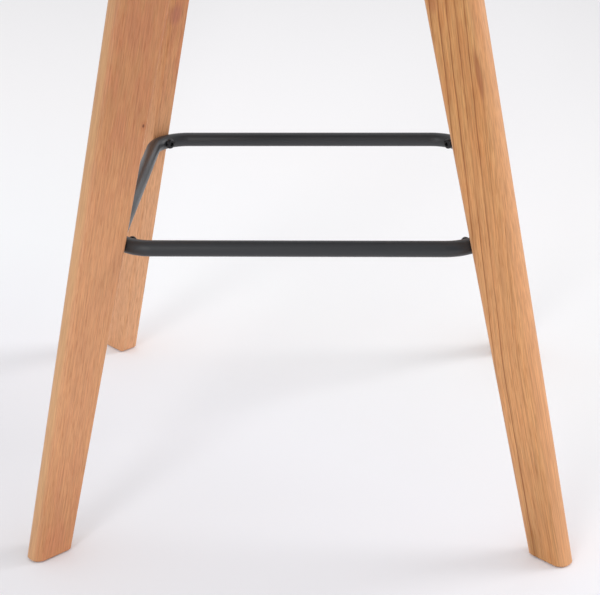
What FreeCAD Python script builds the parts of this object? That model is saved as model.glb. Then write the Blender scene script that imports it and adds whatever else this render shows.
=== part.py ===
"""Bar stool: four splayed oak legs, a bent-tube footrest, a welded steel frame and a moulded bucket seat.

Millimetres, +Z up. The origin is on the floor under the middle of the four feet. The stool faces -Y.
"""
import FreeCAD, Part
import math
import os
from FreeCAD import Placement, Rotation, Vector

# ---------------------------------------------------------------- driving sizes
# Legs: boards on edge that stand on the two diagonals and lean towards the middle as they rise.
LEG_TOP_HEIGHT = 700.0        # floor to the flat top end
LEG_THICKNESS = 22.0
FOOT_REACH = 344.0            # middle of the stool to the foot's outer edge, along the diagonal
FOOT_WIDTH = 38.5             # along the diagonal, at the floor
TOP_REACH = 163.5             # the same two sizes at the top end
TOP_WIDTH = 64.0
LEG_OUTER_FLAT = 2.0          # flat left between the two full-rounded outer arrises
LEG_INNER_RADIUS = 3.0
FOOT_CHAMFER = 1.2

# Floor glides, let into the end grain and nailed.
GLIDE_DIAMETER = 15.0
GLIDE_RECESS = 3.0
GLIDE_STANDOFF = 1.0          # how far the glide stands out of the foot
GLIDE_EDGE_RADIUS = 0.5
NAIL_DIAMETER = 2.0
NAIL_LENGTH = 16.0
NAIL_HEAD_DIAMETER = 5.0
NAIL_HEAD_HEIGHT = 1.2
NAIL_HEAD_SINK = 1.0          # the head lies this far up inside the glide

# Footrest: one closed ring of bent round tube, held by a screw into each leg.
FOOTREST_HEIGHT = 273.5       # floor to the tube's centre line
TUBE_DIAMETER = 14.5
TUBE_WALL = 1.5
RING_CORNER_RADIUS = 34.0     # to the tube's centre line
RING_SEAT_GAP = 0.1           # between the tube and the leg's inner edge
SCREW_SEAT_GAP = 0.05         # a screw's head to the tube's inner side

# Machine screws and bolts, M6 with a button head.
SCREW_DIAMETER = 5.9
SCREW_HEAD_DIAMETER = 10.5
SCREW_HEAD_HEIGHT = 3.3
HEAD_ROUNDING = 0.72          # of a button head, as a share of its height
SOCKET_SHARE = 0.38           # hexagon socket across flats, as a share of the head's diameter
SOCKET_DEPTH_SHARE = 0.6      # as a share of the head's height
THREAD_FIT = 0.05             # radial, between a screw and its insert or nut
HOLE_CLEARANCE = 0.25         # radial, where a screw passes freely
INSERT_WALL = 1.5
INSERT_LENGTH = 12.0
INSERT_SINK = 1.8             # below the leg's sloping inner edge
INSERT_FIT = 0.05             # radial, around an insert, glide or nail
DRILL_RUN_OUT = 3.0           # past the end of an insert

# Cross frame: two folded steel channels on the diagonals, with the leg tops between their cheeks.
CHANNEL_WALL = 2.5
CHANNEL_CHEEK_DEPTH = 44.0    # below the web's upper face
CHANNEL_REACH = 160.0         # middle of the stool to the channel's end
CHANNEL_BEND_RADIUS = 3.0     # outside of the fold
CHANNEL_CORNER_RADIUS = 10.0  # at the lower end of each cheek
LEG_SIDE_GAP = 0.2            # leg to cheek, each side
LEG_TOP_GAP = 0.2             # leg top to web
LEG_BOLT_INSET = 14.0         # leg's inner edge to its first bolt
LEG_BOLT_SPACING = 26.0       # between the two bolts of a leg, along the diagonal
LEG_BOLT_DROP = 22.0          # leg top to the bolt line
WASHER_DIAMETER = 12.0
WASHER_HEIGHT = 1.6
NUT_ACROSS_FLATS = 10.0
NUT_HEIGHT = 5.0
NUT_COLLAR_DIAMETER = 8.6     # round nylon collar of the lock nut
NUT_COLLAR_HEIGHT = 2.4
BOLT_END = 1.5                # bolt that shows past its nut

# Mounting plate between the cross frame and the seat.
PLATE_SIDE = 184.0
PLATE_CORNER_RADIUS = 34.0
PLATE_THICKNESS = 3.0
SEAT_SCREW_OFFSET = 70.0      # middle of the stool to each seat screw, along X and Y
SPACER_DIAMETER = 20.0
SPACER_HEIGHT = 3.0

# Seat shell: a bucket of even wall, laid along a centre line from the front lip to the top of the back.
SHELL_WALL = 6.0
BOSS_LENGTH = 26.0            # screw boss, from its end to the shell's underside in the middle of the seat
SEAT_TILT = 2.0               # degrees, down towards the back
SEAT_FRONT_LENGTH = 160.0     # stool middle to where the front lip starts to turn down
SEAT_REAR_LENGTH = 82.0       # stool middle to where the back starts to turn up
LIP_RADIUS = 62.0
LIP_ANGLE = 42.0
BEND_RADIUS = 92.0
BACK_RECLINE = 13.0           # degrees from upright
BACK_LENGTH = 128.0           # straight part of the back
SHELL_HALF_WIDTH = 226.0
FRONT_HALF_WIDTH = 198.0
TOP_HALF_WIDTH = 186.0
FRONT_CORNER_RADIUS = 78.0
TOP_CORNER_RADIUS = 88.0
FRONT_BOW = 12.0              # how far the middle of the front edge stands ahead of its ends
TOP_BOW = 14.0                # the same at the top edge
RISE_FRONT = 12.0             # how far the sides rise above the centre line, at the lip
RISE_BEND = 62.0              # where seat and back meet
RISE_TOP = 30.0               # at the top of the back
RISE_POWER = 2.6              # above 2 keeps the middle flatter
RIM_RADIUS = 2.2
BOSS_DIAMETER = 18.0          # round bosses under the seat, for the seat screws
RIB_WIDTH = 3.0
RIB_RAISE = 8.0               # from a boss's end up to the ribs' lower edge
RIB_OVERHANG = 46.0           # rib beyond each boss, away from the middle

# Grid of the seat surfaces.
ROWS_ALONG = 30
ROWS_ACROSS = 17
SLOPE_STEP = 0.5              # finite step for surface directions
SURFACE_TOLERANCE = 0.08
SHELL_RUN_OUT = 20.0          # how far the sheet runs past its outline before it is trimmed

REACH = 2000.0                # longer than anything in the model, for cutting tools

# ---------------------------------------------------------------- worked-out sizes
CORNERS = {"front_left": 225.0, "front_right": 315.0, "rear_right": 45.0, "rear_left": 135.0}
WEB_BOTTOM = LEG_TOP_HEIGHT + LEG_TOP_GAP
WEB_TOP = WEB_BOTTOM + CHANNEL_WALL
CHANNEL_HALF_GAP = LEG_THICKNESS / 2 + LEG_SIDE_GAP
CHANNEL_HALF_WIDTH = CHANNEL_HALF_GAP + CHANNEL_WALL
SCREW_HOLE_RADIUS = SCREW_DIAMETER / 2 + HOLE_CLEARANCE
PLATE_TOP = WEB_TOP + PLATE_THICKNESS
BOSS_BOTTOM = PLATE_TOP + SPACER_HEIGHT
SEAT_HEIGHT = BOSS_BOTTOM + BOSS_LENGTH + SHELL_WALL   # floor to the inner face in the middle of the seat
LEG_BOLT_HEIGHT = LEG_TOP_HEIGHT - LEG_BOLT_DROP
OUTER_LEAN = (FOOT_REACH - TOP_REACH) / LEG_TOP_HEIGHT
INNER_LEAN = (FOOT_REACH - FOOT_WIDTH - TOP_REACH + TOP_WIDTH) / LEG_TOP_HEIGHT


def outer_reach(height):
    """Distance from the stool's middle to a leg's outer edge, along the diagonal."""
    return FOOT_REACH - OUTER_LEAN * height


def inner_reach(height):
    """Distance from the stool's middle to a leg's inner edge, along the diagonal."""
    return FOOT_REACH - FOOT_WIDTH - INNER_LEAN * height


FOOT_MIDDLE = (outer_reach(0) + inner_reach(0)) / 2
RING_CORNER_REACH = (
    inner_reach(FOOTREST_HEIGHT) - TUBE_DIAMETER / 2 * math.hypot(1, INNER_LEAN) - RING_SEAT_GAP
)
RING_STRAIGHT = (RING_CORNER_REACH - RING_CORNER_RADIUS) / math.sqrt(2)   # half of a straight side
RING_HALF_SIDE = RING_STRAIGHT + RING_CORNER_RADIUS


# ---------------------------------------------------------------- small helpers
def turned(shape, degrees):
    """A copy of shape, turned about the stool's upright axis."""
    copy = shape.copy()
    copy.rotate(Vector(0, 0, 0), Vector(0, 0, 1), degrees)
    return copy


def aimed(shape, start, direction):
    """A copy of shape with its own origin moved to start and its +Z turned to direction."""
    copy = shape.copy()
    copy.Placement = Placement(start, Rotation(Vector(0, 0, 1), direction))
    return copy


def around(shape):
    """Four copies of a shape made on the +X axis, one on each diagonal."""
    return [turned(shape, angle) for angle in CORNERS.values()]


def block(low, high):
    """A box between two opposite corners."""
    size = high.sub(low)
    return Part.makeBox(size.x, size.y, size.z, low)


def hexagon(across_flats, height):
    """A hexagonal prism that stands on the XY plane."""
    radius = across_flats / math.sqrt(3)
    corners = [Vector(radius * math.cos(a), radius * math.sin(a), 0)
               for a in (math.radians(60 * k) for k in range(7))]
    return Part.Face(Part.makePolygon(corners)).extrude(Vector(0, 0, height))


def save(name, solids):
    """Writes one node: a single solid, or a group of separate solids."""
    solids = solids if isinstance(solids, list) else [solids]
    shape = solids[0] if len(solids) == 1 else Part.makeCompound(solids)
    shape.exportStep("parts/" + name + ".step")


# ---------------------------------------------------------------- fasteners, along +Z from their bearing face
def button_screw(diameter, head_diameter, head_height, length):
    """Button-head screw: the shank runs up +Z from the head's underside at Z = 0."""
    head = Part.makeCylinder(head_diameter / 2, head_height, Vector(0, 0, -head_height))
    crown = [e for e in head.Edges if e.BoundBox.ZMax < -head_height / 2]
    head = head.makeFillet(HEAD_ROUNDING * head_height, crown)
    socket = hexagon(SOCKET_SHARE * head_diameter, SOCKET_DEPTH_SHARE * head_height)
    socket.translate(Vector(0, 0, -head_height))
    shank = Part.makeCylinder(diameter / 2, length)
    return head.cut(socket).fuse(shank).removeSplitter()


def threaded_insert(screw_diameter):
    """Insert that runs up +Z from its mouth, bored for its screw."""
    bore = screw_diameter / 2 + THREAD_FIT
    body = Part.makeCylinder(bore + INSERT_WALL, INSERT_LENGTH)
    return body.cut(Part.makeCylinder(bore, INSERT_LENGTH))


def insert_hole(screw_diameter, lead_in):
    """What an insert's hole takes away, lead_in ahead of its mouth, with the screw's run-out."""
    radius = screw_diameter / 2 + THREAD_FIT + INSERT_WALL + INSERT_FIT
    room = Part.makeCylinder(radius, lead_in + INSERT_LENGTH, Vector(0, 0, -lead_in))
    run_out = Part.makeCylinder(screw_diameter / 2 + INSERT_FIT, INSERT_LENGTH + DRILL_RUN_OUT)
    return room.fuse(run_out)


def washer():
    """Flat washer that stands on its bearing face."""
    disc = Part.makeCylinder(WASHER_DIAMETER / 2, WASHER_HEIGHT)
    return disc.cut(Part.makeCylinder(SCREW_HOLE_RADIUS, WASHER_HEIGHT))


def lock_nut():
    """Hexagon lock nut with its nylon collar, standing on its bearing face."""
    body = hexagon(NUT_ACROSS_FLATS, NUT_HEIGHT)
    collar = Part.makeCylinder(NUT_COLLAR_DIAMETER / 2, NUT_COLLAR_HEIGHT, Vector(0, 0, NUT_HEIGHT))
    bore = Part.makeCylinder(SCREW_DIAMETER / 2 + THREAD_FIT, NUT_HEIGHT + NUT_COLLAR_HEIGHT)
    return body.fuse(collar).removeSplitter().cut(bore)


# ---------------------------------------------------------------- legs and glides, made on the +X axis
def leg_bolt_places():
    """Where the two bolts of a leg cross it: distances from the stool's middle."""
    first = inner_reach(LEG_BOLT_HEIGHT) + LEG_BOLT_INSET
    return [first, first + LEG_BOLT_SPACING]


def arrises(board, outer):
    """A board's long edges, on its outer or its inner side."""
    return [e for e in board.Edges
            if e.BoundBox.ZLength > LEG_TOP_HEIGHT / 2 and (e.BoundBox.XMax > FOOT_MIDDLE) == outer]


def leg():
    """One tapered board on edge, with rounded arrises, bolt holes, insert hole and glide recess."""
    low, high = GLIDE_STANDOFF, LEG_TOP_HEIGHT
    outline = [
        Vector(inner_reach(low), -LEG_THICKNESS / 2, low),
        Vector(outer_reach(low), -LEG_THICKNESS / 2, low),
        Vector(outer_reach(high), -LEG_THICKNESS / 2, high),
        Vector(inner_reach(high), -LEG_THICKNESS / 2, high),
    ]
    board = Part.Face(Part.makePolygon(outline + outline[:1])).extrude(Vector(0, LEG_THICKNESS, 0))
    board = board.makeFillet((LEG_THICKNESS - LEG_OUTER_FLAT) / 2, arrises(board, True))
    board = board.makeFillet(LEG_INNER_RADIUS, arrises(board, False))
    foot_edges = [e for e in board.Edges if e.BoundBox.ZMax < low + 1e-3]
    board = board.makeChamfer(FOOT_CHAMFER, foot_edges)

    cutters = [
        Part.makeCylinder(SCREW_HOLE_RADIUS, LEG_THICKNESS,
                          Vector(reach, -LEG_THICKNESS / 2, LEG_BOLT_HEIGHT), Vector(0, 1, 0))
        for reach in leg_bolt_places()
    ]
    lead_in = INSERT_SINK + INSERT_LENGTH * INNER_LEAN
    hole = insert_hole(SCREW_DIAMETER, lead_in)
    cutters.append(aimed(hole, Vector(insert_mouth(), 0, FOOTREST_HEIGHT), Vector(1, 0, 0)))
    foot = Vector(FOOT_MIDDLE, 0, low)
    cutters.append(Part.makeCylinder(GLIDE_DIAMETER / 2 + INSERT_FIT, GLIDE_RECESS, foot))
    cutters.append(Part.makeCylinder(NAIL_DIAMETER / 2 + INSERT_FIT, NAIL_LENGTH + NAIL_HEAD_SINK, foot))
    return board.cut(cutters)


def glide():
    """Round plastic glide in the foot's recess, bored and counterbored for its nail."""
    disc = Part.makeCylinder(GLIDE_DIAMETER / 2, GLIDE_STANDOFF + GLIDE_RECESS, Vector(FOOT_MIDDLE, 0, 0))
    lower_edge = [e for e in disc.Edges if e.BoundBox.ZMax < 1e-3]
    disc = disc.makeFillet(GLIDE_EDGE_RADIUS, lower_edge)
    head_room = Part.makeCylinder(NAIL_HEAD_DIAMETER / 2 + INSERT_FIT, NAIL_HEAD_SINK + NAIL_HEAD_HEIGHT,
                                  Vector(FOOT_MIDDLE, 0, 0))
    bore = Part.makeCylinder(NAIL_DIAMETER / 2 + INSERT_FIT, GLIDE_STANDOFF + GLIDE_RECESS,
                             Vector(FOOT_MIDDLE, 0, 0))
    return disc.cut(head_room).cut(bore)


def glide_nail():
    """Flat-headed nail that holds a glide."""
    start = Vector(FOOT_MIDDLE, 0, NAIL_HEAD_SINK)
    head = Part.makeCylinder(NAIL_HEAD_DIAMETER / 2, NAIL_HEAD_HEIGHT, start)
    shank = Part.makeCylinder(NAIL_DIAMETER / 2, NAIL_LENGTH, start)
    return head.fuse(shank).removeSplitter()


def insert_mouth():
    """Distance from the stool's middle to the mouth of a leg's insert."""
    return inner_reach(FOOTREST_HEIGHT) + INSERT_SINK


# ---------------------------------------------------------------- footrest
def ring_piece(radius):
    """The whole ring as a solid rod of the given radius."""
    pieces = []
    for turn in range(4):
        start = Vector(-RING_STRAIGHT, RING_HALF_SIDE, 0)
        side = Part.makeCylinder(radius, 2 * RING_STRAIGHT, start, Vector(1, 0, 0))
        corner = Part.makeTorus(RING_CORNER_RADIUS, radius, Vector(RING_STRAIGHT, RING_STRAIGHT, 0),
                                Vector(0, 0, 1), -180, 180, 90)
        pieces += [turned(side, 90 * turn), turned(corner, 90 * turn)]
    ring = pieces[0].fuse(pieces[1:]).removeSplitter()
    ring.translate(Vector(0, 0, FOOTREST_HEIGHT))
    return ring


def footrest_ring():
    """Bent tube, with a screw hole right through it at each corner."""
    tube = ring_piece(TUBE_DIAMETER / 2).cut(ring_piece(TUBE_DIAMETER / 2 - TUBE_WALL))
    start = Vector(RING_CORNER_REACH - TUBE_DIAMETER, 0, FOOTREST_HEIGHT)
    hole = Part.makeCylinder(SCREW_HOLE_RADIUS, 2 * TUBE_DIAMETER, start, Vector(1, 0, 0))
    return tube.cut(around(hole))


def screw_seat():
    """Distance from the stool's middle to where a flat head bears on the inner side of the ring's bend."""
    inner_bend = RING_CORNER_RADIUS - TUBE_DIAMETER / 2
    bearing = math.sqrt(inner_bend ** 2 - (SCREW_HEAD_DIAMETER / 2) ** 2)
    return RING_CORNER_REACH - RING_CORNER_RADIUS + bearing - SCREW_SEAT_GAP


def footrest_screw():
    """Screw from the ring's inner side, through both walls of the tube, into the leg's insert."""
    length = insert_mouth() + INSERT_LENGTH - screw_seat()
    screw = button_screw(SCREW_DIAMETER, SCREW_HEAD_DIAMETER, SCREW_HEAD_HEIGHT, length)
    return aimed(screw, Vector(screw_seat(), 0, FOOTREST_HEIGHT), Vector(1, 0, 0))


def leg_insert():
    """Threaded insert in the leg's inner edge."""
    insert = threaded_insert(SCREW_DIAMETER)
    return aimed(insert, Vector(insert_mouth(), 0, FOOTREST_HEIGHT), Vector(1, 0, 0))


# ---------------------------------------------------------------- cross frame
def channel(start, end):
    """Folded channel, open below, along +X from start to end, with the leg bolt holes at each arm's end."""
    bottom = WEB_TOP - CHANNEL_CHEEK_DEPTH
    outside = block(Vector(start, -CHANNEL_HALF_WIDTH, bottom), Vector(end, CHANNEL_HALF_WIDTH, WEB_TOP))
    folds = [e for e in outside.Edges
             if e.BoundBox.XLength > (end - start) / 2 and e.BoundBox.ZMin > WEB_TOP - 1e-3]
    outside = outside.makeFillet(CHANNEL_BEND_RADIUS, folds)
    inside = block(Vector(start, -CHANNEL_HALF_GAP, bottom), Vector(end, CHANNEL_HALF_GAP, WEB_BOTTOM))
    body = outside.cut(inside)
    ends = [x for x in (start, end) if abs(abs(x) - CHANNEL_REACH) < 1e-6]
    tips = [e for e in body.Edges
            if e.BoundBox.YLength > CHANNEL_WALL / 2 and e.BoundBox.ZMax < bottom + 1e-3
            and any(abs(e.BoundBox.XMin - x) < 1e-3 and abs(e.BoundBox.XMax - x) < 1e-3 for x in ends)]
    body = body.makeFillet(CHANNEL_CORNER_RADIUS, tips)
    for reach in leg_bolt_places():
        for x in (-reach, reach):
            if start < x < end:
                hole = Part.makeCylinder(SCREW_HOLE_RADIUS, 2 * CHANNEL_HALF_WIDTH,
                                         Vector(x, -CHANNEL_HALF_WIDTH, LEG_BOLT_HEIGHT), Vector(0, 1, 0))
                body = body.cut(hole)
    return body


def mounting_plate():
    """Rounded square plate on the channels, with the four seat screw holes."""
    half = PLATE_SIDE / 2
    plate = block(Vector(-half, -half, WEB_TOP), Vector(half, half, PLATE_TOP))
    upright = [e for e in plate.Edges if e.BoundBox.ZLength > PLATE_THICKNESS / 2]
    plate = plate.makeFillet(PLATE_CORNER_RADIUS, upright)
    return plate.cut([Part.makeCylinder(SCREW_HOLE_RADIUS, PLATE_THICKNESS, place.add(Vector(0, 0, WEB_TOP)))
                      for place in seat_screw_places()])


def seat_screw_places():
    """The four seat screws, seen from above."""
    reach = SEAT_SCREW_OFFSET
    return [Vector(reach, 0, 0), Vector(0, reach, 0), Vector(-reach, 0, 0), Vector(0, -reach, 0)]


def leg_fasteners():
    """Bolts, washers and lock nuts that clamp the leg tops between the cheeks."""
    head_face = -CHANNEL_HALF_WIDTH - WASHER_HEIGHT
    grip = 2 * (CHANNEL_HALF_WIDTH + WASHER_HEIGHT)
    bolt = button_screw(SCREW_DIAMETER, SCREW_HEAD_DIAMETER, SCREW_HEAD_HEIGHT,
                        grip + NUT_HEIGHT + NUT_COLLAR_HEIGHT + BOLT_END)
    bolts, washers, nuts = [], [], []
    for reach in leg_bolt_places():
        for solids, shape, y in (
                (bolts, bolt, head_face),
                (washers, washer(), head_face),
                (washers, washer(), CHANNEL_HALF_WIDTH),
                (nuts, lock_nut(), head_face + grip)):
            solids += around(aimed(shape, Vector(reach, y, LEG_BOLT_HEIGHT), Vector(0, 1, 0)))
    return bolts, washers, nuts


def at_seat_screws(shape, height):
    """Four copies of a shape made about +Z, at the seat screws and that height."""
    return [aimed(shape, place.add(Vector(0, 0, height)), Vector(0, 0, 1)) for place in seat_screw_places()]


def seat_spacer():
    """Rubber spacer between the plate and a boss, standing on the plate."""
    disc = Part.makeCylinder(SPACER_DIAMETER / 2, SPACER_HEIGHT)
    return disc.cut(Part.makeCylinder(SCREW_HOLE_RADIUS, SPACER_HEIGHT))


def seat_screw():
    """Screw up through the plate and a spacer to the end of a boss's insert."""
    length = PLATE_THICKNESS + SPACER_HEIGHT + INSERT_LENGTH
    return button_screw(SCREW_DIAMETER, SCREW_HEAD_DIAMETER, SCREW_HEAD_HEIGHT, length)


# ---------------------------------------------------------------- seat surface
SPINE = [
    (math.radians(LIP_ANGLE) * LIP_RADIUS, -math.radians(LIP_ANGLE)),
    ((SEAT_FRONT_LENGTH + SEAT_REAR_LENGTH) / math.cos(math.radians(SEAT_TILT)), 0.0),
    (math.radians(90 - BACK_RECLINE + SEAT_TILT) * BEND_RADIUS, math.radians(90 - BACK_RECLINE + SEAT_TILT)),
    (BACK_LENGTH, 0.0),
]                             # (length, turn) of each stretch of the centre line
SPINE_LENGTH = sum(length for length, _ in SPINE)
BEND_START = SPINE[0][0] + SPINE[1][0]
BEND_MIDDLE = BEND_START + SPINE[2][0] / 2


def spine(distance):
    """Place (y, z) and heading of the shell's inner face, that far from the lip along its centre line."""
    tilt = math.radians(SEAT_TILT)
    heading = math.radians(LIP_ANGLE) - tilt
    flat_z = SEAT_HEIGHT + SEAT_FRONT_LENGTH * math.tan(tilt)
    y = -SEAT_FRONT_LENGTH - LIP_RADIUS * (math.sin(heading) + math.sin(tilt))
    z = flat_z - LIP_RADIUS * (math.cos(tilt) - math.cos(heading))
    left = distance
    for index, (length, turn) in enumerate(SPINE):
        last = index == len(SPINE) - 1
        run = left if last or left < length else length
        if turn:
            end = heading + turn * run / length
            radius = length / turn
            y += radius * (math.sin(end) - math.sin(heading))
            z += radius * (math.cos(heading) - math.cos(end))
            heading = end
        else:
            y += run * math.cos(heading)
            z += run * math.sin(heading)
        left -= run
        if left <= 0 and not last:
            break
    return y, z, heading


def side_rise(distance):
    """How far the shell's sides stand up from its centre line."""
    if distance < BEND_MIDDLE:
        share = max(distance, 0.0) / BEND_MIDDLE
        ease = share * share * (3 - 2 * share)
        return RISE_FRONT + (RISE_BEND - RISE_FRONT) * ease
    share = min((distance - BEND_MIDDLE) / (SPINE_LENGTH - BEND_MIDDLE), 1.0)
    ease = share * share * (3 - 2 * share)
    return RISE_BEND + (RISE_TOP - RISE_BEND) * ease


def shell_point(distance, x):
    """A point of the shell's inner face."""
    y, z, heading = spine(distance)
    rise = side_rise(distance) * abs(x / SHELL_HALF_WIDTH) ** RISE_POWER
    return Vector(x, y - rise * math.sin(heading), z + rise * math.cos(heading))


def offset_point(distance, x, offset):
    """The same point, moved along the face's normal towards the sitter."""
    along = shell_point(distance + SLOPE_STEP, x).sub(shell_point(distance - SLOPE_STEP, x))
    across = shell_point(distance, x + SLOPE_STEP).sub(shell_point(distance, x - SLOPE_STEP))
    normal = across.cross(along).normalize()
    return shell_point(distance, x).add(normal.multiply(offset))


def layer_face(start, end, half_width, offset):
    """One smooth face parallel to the shell's inner face, over part of its length and width."""
    grid = []
    for i in range(ROWS_ALONG):
        distance = start + (end - start) * i / (ROWS_ALONG - 1)
        across = [half_width * (2 * j / (ROWS_ACROSS - 1) - 1) for j in range(ROWS_ACROSS)]
        grid.append([offset_point(distance, x, offset) for x in across])
    surface = Part.BSplineSurface()
    surface.approximate(Points=grid, DegMin=3, DegMax=5, Continuity=2, Tolerance=SURFACE_TOLERANCE)
    return surface.toShape()


def layer(start, end, half_width, lower, upper):
    """A closed solid between two such faces."""
    low = layer_face(start, end, half_width, lower)
    high = layer_face(start, end, half_width, upper)
    edges = zip(low.OuterWire.OrderedEdges, high.OuterWire.OrderedEdges)
    sides = [Part.makeRuledSurface(low_edge, high_edge) for low_edge, high_edge in edges]
    shell = Part.makeShell([low, high] + sides)
    shell.sewShape()
    return Part.makeSolid(shell)


def curved_side(corner, bend, end):
    """Arc from an outline's corner to bend, where it runs smoothly into the straight line on to end."""
    chord = bend.sub(corner)
    ahead = end.sub(bend).normalize()
    lean = chord.getAngle(ahead)
    middle = corner.add(bend).multiply(0.5)
    tangents_meet = bend.sub(ahead.multiply(chord.Length / 2 / math.cos(lean)))
    tip = middle.add(tangents_meet.sub(middle).multiply(math.tan(lean / 2) / math.tan(lean)))
    return Part.Arc(corner, tip, bend).toShape()


def outline_prism(right, tip, depth, corner_radius):
    """Prism of a symmetric outline: an arc through tip, then on each side a corner, a curve and a straight."""
    left = [Vector(-p.x, p.y, p.z) for p in right]
    edges = [Part.Arc(left[0], tip, right[0]).toShape(), curved_side(*right), Part.makeLine(right[1], right[2]),
             Part.makeLine(right[2], left[2]), Part.makeLine(left[2], left[1]), curved_side(*left)]
    prism = Part.Face(Part.Wire(Part.__sortEdges__(edges))).extrude(depth)
    corners = [e for e in prism.Edges if e.Length > depth.Length / 2
               and min(e.distToShape(Part.Vertex(p))[0] for p in (right[0], left[0])) < 1e-3]
    return prism.makeFillet(corner_radius, corners)


def plan_cutter():
    """Upright prism with the seat's outline as seen from above."""
    front, bend = spine(0)[0], spine(BEND_START)[0]
    right = [Vector(FRONT_HALF_WIDTH, front + FRONT_BOW, 0), Vector(SHELL_HALF_WIDTH, bend, 0),
             Vector(SHELL_HALF_WIDTH, REACH, 0)]
    return outline_prism(right, Vector(0, front, 0), Vector(0, 0, REACH), FRONT_CORNER_RADIUS)


def front_cutter():
    """Prism along Y with the back's outline as seen from the front."""
    top, bend = spine(SPINE_LENGTH)[1], spine(BEND_MIDDLE)[1]
    right = [Vector(TOP_HALF_WIDTH, -REACH, top - TOP_BOW), Vector(SHELL_HALF_WIDTH, -REACH, bend),
             Vector(SHELL_HALF_WIDTH, -REACH, 0)]
    return outline_prism(right, Vector(0, -REACH, top), Vector(0, 2 * REACH, 0), TOP_CORNER_RADIUS)


def bosses_and_ribs():
    """Screw bosses and their crossed ribs, up into the middle of the shell's wall."""
    bosses = at_seat_screws(Part.makeCylinder(BOSS_DIAMETER / 2, SEAT_HEIGHT), BOSS_BOTTOM)
    reach = SEAT_SCREW_OFFSET + RIB_OVERHANG
    rib = block(Vector(-reach, -RIB_WIDTH / 2, BOSS_BOTTOM + RIB_RAISE),
                Vector(reach, RIB_WIDTH / 2, SEAT_HEIGHT + reach))
    posts = bosses[0].fuse(bosses[1:] + [rib, turned(rib, 90)])
    below = layer(SPINE[0][0] / 2, BEND_MIDDLE, reach + BOSS_DIAMETER, -2 * BOSS_LENGTH, -SHELL_WALL / 2)
    return posts.common(below)


def seat_shell():
    """Bucket of even wall thickness with a rounded rim, and with bosses and ribs below."""
    start, end = -SHELL_RUN_OUT, SPINE_LENGTH + SHELL_RUN_OUT
    sheet = layer(start, end, SHELL_HALF_WIDTH + SHELL_RUN_OUT, -SHELL_WALL, 0)
    trimmed = sheet.common(plan_cutter()).common(front_cutter()).Solids[0]
    rim = [e for e in trimmed.Edges if e.Length > 2 * SHELL_WALL]
    trimmed = trimmed.makeFillet(RIM_RADIUS, rim)
    body = trimmed.fuse(bosses_and_ribs())
    return body.cut(at_seat_screws(insert_hole(SCREW_DIAMETER, 0.0), BOSS_BOTTOM))


# ---------------------------------------------------------------- the nodes
def main():
    """Builds every node and writes its file."""
    os.makedirs("parts", exist_ok=True)
    for corner, angle in CORNERS.items():
        save("leg_" + corner, turned(leg(), angle))
    save("floor_glides", around(glide()))
    save("glide_nails", around(glide_nail()))
    save("footrest_ring", footrest_ring())
    save("footrest_screws", around(footrest_screw()))
    save("leg_inserts", around(leg_insert()))

    across, along = CORNERS["rear_right"], CORNERS["rear_left"]
    save("cross_channel", turned(channel(-CHANNEL_REACH, CHANNEL_REACH), across))
    arm = channel(CHANNEL_HALF_WIDTH, CHANNEL_REACH)
    save("cross_arm_rear", turned(arm, along))
    save("cross_arm_front", turned(arm, along + 180))
    save("mounting_plate", mounting_plate())
    bolts, washers, nuts = leg_fasteners()
    save("leg_bolts", bolts)
    save("leg_washers", washers)
    save("leg_lock_nuts", nuts)

    save("seat_spacers", at_seat_screws(seat_spacer(), PLATE_TOP))
    save("seat_screws", at_seat_screws(seat_screw(), WEB_TOP))
    save("seat_inserts", at_seat_screws(threaded_insert(SCREW_DIAMETER), BOSS_BOTTOM))
    save("seat_shell", seat_shell())


main()
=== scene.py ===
"""Looks of the bar stool: oak legs, black footrest, welded cross frame and moulded seat."""

import logging
import math
from dataclasses import dataclass
from enum import Enum
from typing import Any

import bmesh
import bpy
from mathutils import Euler, Matrix, Vector


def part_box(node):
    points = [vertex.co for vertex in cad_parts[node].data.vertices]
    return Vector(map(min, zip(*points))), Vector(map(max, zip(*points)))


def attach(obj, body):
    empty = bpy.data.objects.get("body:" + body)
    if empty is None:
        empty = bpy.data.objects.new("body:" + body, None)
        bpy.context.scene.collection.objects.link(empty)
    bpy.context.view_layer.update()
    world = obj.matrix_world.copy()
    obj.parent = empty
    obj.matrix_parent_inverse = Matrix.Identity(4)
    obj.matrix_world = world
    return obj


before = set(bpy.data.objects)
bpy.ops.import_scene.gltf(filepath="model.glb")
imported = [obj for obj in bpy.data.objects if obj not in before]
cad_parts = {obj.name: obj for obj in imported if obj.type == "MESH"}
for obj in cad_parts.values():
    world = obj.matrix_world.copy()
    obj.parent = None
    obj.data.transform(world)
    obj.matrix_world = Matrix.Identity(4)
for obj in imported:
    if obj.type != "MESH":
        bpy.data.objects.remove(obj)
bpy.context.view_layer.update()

MM = 0.001
LOG = logging.getLogger("bar_stool")
NOISE = (0.3, 0.7)                       # nearly all of a noise texture's values lie between these


class Slot(Enum):
    """Two of the record's material slot names; nothing in this script reads them."""

    COAT = "black_powder_coat"
    BLACK_ZINC = "black_zinc_steel"


# ---------------------------------------------------------------- colours and nodes
def linear(hex_colour: str) -> tuple[float, float, float, float]:
    """Turns an sRGB hex colour into linear red, green, blue and alpha.

    Args:
        hex_colour: Six hex digits with a leading #.

    Returns:
        The linear colour with alpha 1.
    """
    channels = [int(hex_colour[i:i + 2], 16) / 255 for i in (1, 3, 5)]
    red, green, blue = (c / 12.92 if c <= 0.04045 else ((c + 0.055) / 1.055) ** 2.4 for c in channels)
    return (red, green, blue, 1.0)


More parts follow.
